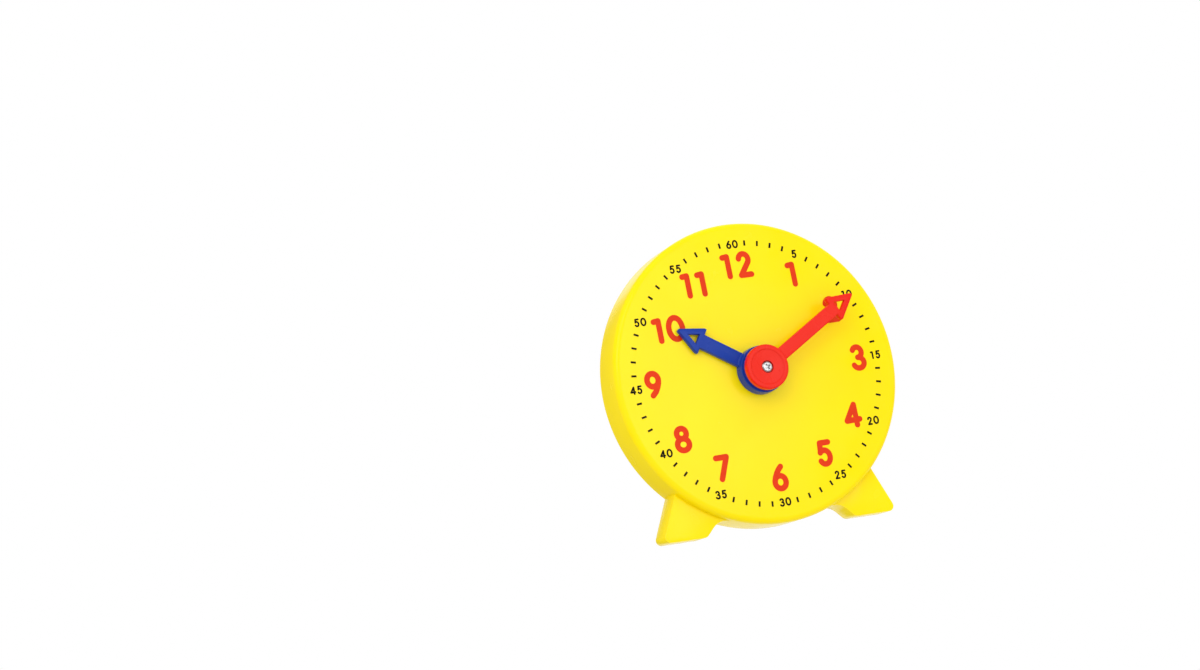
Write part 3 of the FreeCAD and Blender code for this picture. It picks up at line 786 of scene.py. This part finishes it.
blue_colour = (0.008, 0.042, 0.33)
hour_angle = 301.5
hour_bar_width = 4.8
hour_reach = 30.8
hour_hub_radius = 7.75
hub_draft = 0.2
fill_radius = 0.7
fill_rows = 13
fill_steps = 6
fill_bite = 0.1
fill_sink = 0.3
hour_rim = 3.9
neck_radius = 6.9
hour_top = 5.2
tube_radius = 4.0
tube_end = -6.0
tube_hole = 2.57
well_radius = 3.7
well_floor = 3.2

red_colour = (0.82, 0.017, 0.005)
minute_angle = 59
minute_bar_width = 4.4
minute_reach = 40.6
disc_base = 5.5
disc_top = 7.6
disc_radius = 7.4
disc_edge = 0.55
dish_radius = 5.9
dish_depth = 0.25
dish_slope = 0.25
spigot_radius = 3.4
spigot_end = 3.5
screw_hole_radius = 0.94
recess_radius = 2.05
screw_seat_height = 6.35
hub_facets = 128


def turned_to(angle):
    """The place on the clock of a piece that is drawn pointing at the twelve."""
    return dial_to_clock @ Matrix.Rotation(math.radians(-angle), 4, "Z")


def make_arrow(name, bar_width, base, start, reach, material, angle):
    """The arrow of a hand with its pierced head, its top edges well rounded and the rest slightly."""
    shoulder = reach - head_length
    right = [
        (bar_width / 2, start),
        (bar_width / 2, shoulder),
        (head_width / 2, shoulder),
        (head_width / 2, shoulder + head_corner),
        (head_corner / 2, reach),
    ]
    edge = right + [(-x, y) for x, y in reversed(right)]
    hole = [
        (-hole_width / 2, shoulder + hole_start),
        (hole_width / 2, shoulder + hole_start),
        (0, shoulder + hole_start + hole_length),
    ]
    mesh = bmesh.new()
    top = base + hand_thickness
    add_plate(mesh, [edge, hole], base, top)
    weight = mesh.edges.layers.float.new("bevel_weight_edge")
    for line in mesh.edges:
        ends = [vertex.co for vertex in line.verts]
        if len(line.link_faces) == 2 and all(abs(end.z - top) < nearly for end in ends):
            flat = line.calc_face_angle(0) < 0.1
            in_hole = all(abs(end.x) <= hole_width / 2 + nearly and end.y > shoulder + 1 for end in ends)
            at_tip = all(abs(end.y - reach) < nearly for end in ends)
            line[weight] = 0.0 if flat else hole_edge_share if in_hole and not at_tip else 1.0
    item = make_piece(name, mesh, material, turned_to(angle))
    add_bevel(item, "rounded_top", hand_edge, 4, "WEIGHT", bevel_angle)
    add_bevel(item, "eased_edges", eased_edge, 2, "ANGLE", eased_angle)
    bake(item)
    shade(item)
    return item


# The blue hand gets a stronger painted highlight along its edges.
blue = moulded_plastic("blue_plastic", blue_colour, 0.24, edge_highlight=0.7)
red = moulded_plastic("red_plastic", red_colour, 0.28)

hour_hub = bmesh.new()
add_turned(hour_hub, rounded([
    (tube_hole, tube_end, 0),
    (tube_radius, tube_end, 0.2),
    (tube_radius, hand_gap, 0),
    (hour_hub_radius + hub_draft, hand_gap, 0.1),
    (hour_hub_radius, hour_rim, 0.25),
    (neck_radius, hour_rim, 0),
    (neck_radius, hour_top, 0.2),
    (well_radius, hour_top, 0.1),
    (well_radius, well_floor, 0),
    (tube_hole, well_floor, 0),
]), hub_facets)
hub_of_hour = make_piece("hour_hand_hub", hour_hub, blue, turned_to(hour_angle))
arrow_of_hour = make_arrow(
    "hour_hand_arrow", hour_bar_width, hand_gap, neck_radius, hour_reach, blue, hour_angle)

# The corner between the bar and the hub's wall is filled with a small hollow curve, whose
# other sides are sunk in the two.
corner_fill = bmesh.new()
bar_top = hand_gap + hand_thickness
rows = []
for across in range(fill_rows):
    x = (across / (fill_rows - 1) - 0.5) * (hour_bar_width - 2 * hand_edge)
    wall_at = math.sqrt(hour_hub_radius ** 2 - x ** 2)
    curve = [(wall_at - fill_bite, bar_top - fill_sink), (wall_at - fill_bite, bar_top + fill_radius)]
    for step in range(fill_steps + 1):
        angle = math.pi / 2 * step / fill_steps
        out_by = fill_radius * (1 - math.cos(angle))
        up_by = fill_radius * (1 - math.sin(angle))
        curve.append((wall_at + out_by, bar_top + up_by))
    curve.append((wall_at + fill_radius, bar_top - fill_sink))
    rows.append([corner_fill.verts.new((x, y, height)) for y, height in curve])
for row, following in zip(rows, rows[1:]):
    join(corner_fill, following, row)
corner_fill.faces.new(rows[0])
corner_fill.faces.new(rows[-1])
fill_of_hour = make_piece("hour_hand_corner", corner_fill, blue, turned_to(hour_angle))
for item in (hub_of_hour, arrow_of_hour, fill_of_hour):
    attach(item, "hour_side")
    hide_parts("hour_hand")

minute_hub = bmesh.new()
add_turned(minute_hub, rounded([
    (screw_hole_radius, spigot_end, 0),
    (spigot_radius, spigot_end, 0.2),
    (spigot_radius, disc_base, 0),
    (disc_radius, disc_base, 0.1),
    (disc_radius, disc_top, disc_edge),
    (dish_radius, disc_top, 0.15),
    (dish_radius - dish_slope, disc_top - dish_depth, 0.15),
    (recess_radius, disc_top - dish_depth, 0.1),
    (recess_radius, screw_seat_height, 0),
    (screw_hole_radius, screw_seat_height, 0),
]), hub_facets)
hub_of_minute = make_piece("minute_hand_hub", minute_hub, red, turned_to(minute_angle))
arrow_of_minute = make_arrow(
    "minute_hand_arrow", minute_bar_width, disc_base, (dish_radius + disc_radius) / 2, minute_reach,
    red, minute_angle)
for item in (hub_of_minute, arrow_of_minute):
    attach(item, "minute_side")
    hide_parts("minute_hand")


# Centre screw
# A chrome-plated steel pan-head screw with a cross recess, sunk in the middle of the red
# hub, which holds the minute hand on its arbor.

centre_head_radius = 1.85
centre_head_height = 1.05
centre_shank_radius = 0.9
centre_shank_length = 7.0
centre_screw_turn = math.radians(28)
chrome_colour = (0.93, 0.93, 0.94)

chrome = bright_steel("bright_chrome", chrome_colour, 0.28)
centre_screw = cross_head_screw(
    "centre_screw_driven", centre_head_radius, centre_head_height, centre_shank_radius, centre_shank_length,
    chrome)
driven_home = Matrix.Translation((0, 0, screw_seat_height)) @ Matrix.Rotation(centre_screw_turn, 4, "Z")
centre_screw.data.transform(dial_to_clock @ driven_home)
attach(centre_screw, "minute_side")
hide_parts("centre_screw")


# Works inside the drum
# White acetal gears on a plastic arbor and a ground steel pin, with a dished spring washer
# of blued steel that keeps the hands where they are set.

acetal_colour = (0.8, 0.8, 0.76)
ground_steel_colour = (0.6, 0.6, 0.62)
spring_steel_colour = (0.42, 0.43, 0.46)

acetal = moulded_plastic("white_acetal", acetal_colour, 0.42, shine=0.5)
ground_steel = bright_steel("ground_steel", ground_steel_colour, 0.32)
spring_steel = bright_steel("spring_steel", spring_steel_colour, 0.36)
for node in ("hour_wheel", "minute_arbor", "minute_pinion", "reduction_gear"):
    dress(node, acetal)
dress("idler_pin", ground_steel)
dress("friction_spring", spring_steel)


# Table, light and camera
# A white table under the clock, seen only from above, a white room that is dimmer towards
# the floor, and two soft lamps: a large one at the upper left and a small one in front.

table_half = 3.0
table_drop = 0.2
table_colour = (0.85, 0.85, 0.85, 1)
white = (1, 1, 1, 1)
lit_spot = (0, 0, 0.05)

table_corners = [(x * table_half, y * table_half, 0) for x, y in ((-1, -1), (1, -1), (1, 1), (-1, 1))]
table_mesh = bpy.data.meshes.new("table")
table_mesh.from_pydata(table_corners, [], [(0, 1, 2, 3)])
table_mesh.transform(Matrix.Translation((0, 0, -table_drop * MM)))
table = bpy.data.objects.new("table", table_mesh)
bpy.context.collection.objects.link(table)
white_top = bpy.data.materials.new("white_table_top")
white_top.use_nodes = True
top = white_top.node_tree
top_shader = top.nodes["Principled BSDF"]
feed(top, top_shader, {"Base Color": table_colour, "Roughness": 0.6})
open_below = add_node(top, "ShaderNodeMixShader", {
    0: top.nodes.new("ShaderNodeNewGeometry").outputs["Backfacing"],
    1: top_shader.outputs[0],
    2: top.nodes.new("ShaderNodeBsdfTransparent").outputs[0],
})
feed(top, top.nodes["Material Output"], {"Surface": open_below.outputs[0]})
table_mesh.materials.append(white_top)
table.visible_diffuse = False
table.visible_glossy = False
table.visible_shadow = False

world = bpy.data.worlds.new("white_room")
bpy.context.scene.world = world
world.use_nodes = True
room = world.node_tree
direction = add_node(room, "ShaderNodeSeparateXYZ", {
    0: room.nodes.new("ShaderNodeTexCoord").outputs["Generated"]}).outputs

# The light falls off a little towards the floor.
ambient = room.nodes["Background"]
feed(room, ambient, {"Color": white, "Strength": add_range(room, direction["Z"], -1, 1, 0.84, 1.18)})

# What is mirrored is a white sheet behind the clock and to its right, in a dim room; what is
# seen beyond the clock is white all round.
to_right = add_range(room, direction["X"], -0.04, 0.06, 0, 1, "SMOOTHSTEP")
to_back = add_range(room, direction["Y"], -0.2, 0.2, 0, 1, "SMOOTHSTEP")
sheet = add_range(room, add_math(room, "MULTIPLY", to_right, to_back), 0, 1, 0.15, 1)
ray = room.nodes.new("ShaderNodeLightPath").outputs
backdrop = add_node(room, "ShaderNodeBackground", {
    "Color": white, "Strength": add_math(room, "MAXIMUM", ray["Is Camera Ray"], sheet)})
seen = add_math(room, "MAXIMUM", ray["Is Camera Ray"], ray["Is Glossy Ray"])
choice = add_node(room, "ShaderNodeMixShader", {
    0: add_math(room, "MAXIMUM", seen, ray["Is Transmission Ray"]),
    1: ambient.outputs[0],
    2: backdrop.outputs[0],
})
feed(room, room.nodes["World Output"], {"Surface": choice.outputs[0]})


def add_lamp(name, place, size, power):
    """A round soft lamp that faces the clock."""
    lamp = bpy.data.lights.new(name, "AREA")
    lamp.shape = "DISK"
    lamp.size = size
    lamp.energy = power
    holder = bpy.data.objects.new(name, lamp)
    holder.location = place
    holder.rotation_mode = "QUATERNION"
    holder.rotation_quaternion = (Vector(lit_spot) - Vector(place)).to_track_quat("-Z", "Y")
    bpy.context.collection.objects.link(holder)


add_lamp("key_light", (-0.7, -0.9, 0.6), size=0.8, power=2.4)
add_lamp("front_light", (0.34, -1.14, 0.19), size=0.5, power=1.2)

camera_data = bpy.data.cameras.new("camera")
camera_data.sensor_width = 36
camera_data.lens = 66.26
camera_data.clip_start = 0.05
camera = bpy.data.objects.new("camera", camera_data)
camera_place = Vector((-300.4, -652.8, -42.4)) * MM
camera_target = Vector((-52.52, -3.3, 68.47)) * MM
camera_roll = Quaternion((0, 0, 1), math.radians(-9.65))
camera.location = camera_place
camera.rotation_mode = "QUATERNION"
camera.rotation_quaternion = (camera_target - camera_place).to_track_quat("-Z", "Y") @ camera_roll
bpy.context.collection.objects.link(camera)
bpy.context.scene.camera = camera
bpy.context.scene.view_settings.view_transform = "Standard"
